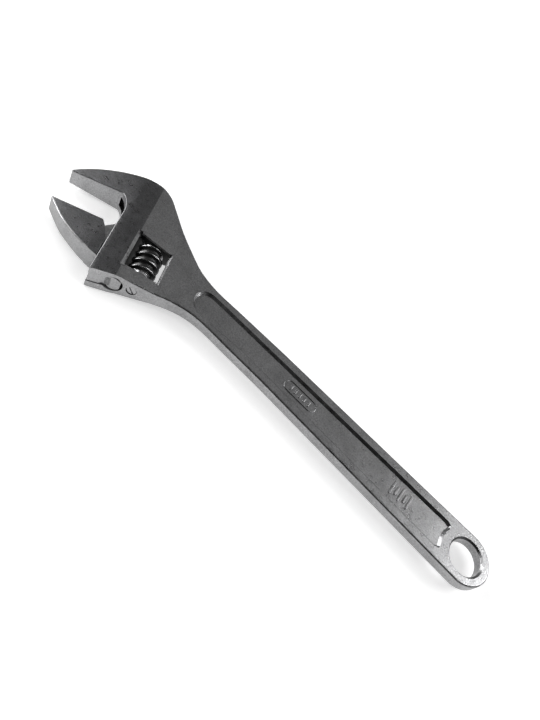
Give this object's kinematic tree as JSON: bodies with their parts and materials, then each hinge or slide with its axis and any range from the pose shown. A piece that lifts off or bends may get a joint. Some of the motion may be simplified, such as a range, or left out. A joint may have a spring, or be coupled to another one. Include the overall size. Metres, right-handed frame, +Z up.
{
  "type": "adjustable wrench",
  "caption": "Adjustable open-end wrench: a screw-driven sliding jaw sets the gap that grips nuts and bolts; a hole in the handle hangs it up.",
  "frame": {"origin": "middle of the whole wrench's box, at its lowest face, as it lies flat", "axes": "+X along the handle towards the jaws, +Y on the side that the sliding jaw opens towards, +Z up through the thickness"},
  "size_m": [0.4578, 0.1114, 0.0246],
  "materials": {
    "body": "satin plated, fine blasted, with ground cheeks",
    "sliding_jaw": "satin plated, ground cheeks",
    "knurl": "turned and plated, bright edges",
    "knurl_pin": "turned",
    "knurl_spring": "drawn wire"
  },
  "bodies": {
    "frame": {"body": "body", "knurl_pin": "knurl_pin", "knurl_spring": "knurl_spring"},
    "jaw": {"sliding_jaw": "sliding_jaw"},
    "worm": {"knurl": "knurl"}
  },
  "joints": [
    {"name": "jaw_slide", "type": "slide", "parent": "frame", "child": "jaw", "axis": [-0.4067, 0.9135, 0], "range_m": [-0.0345, 0.018]},
    {"name": "knurl_turn", "type": "hinge", "parent": "frame", "child": "worm", "pos_m": [0.12568, 0.01048, 0.0123], "axis": [0.4067, -0.9135, 0], "range_deg": [-1654.2, 872.6]}
  ],
  "couplings": [
    {"joint": "knurl_turn", "follows": "jaw_slide", "rad_per_m": 826.73}
  ]
}
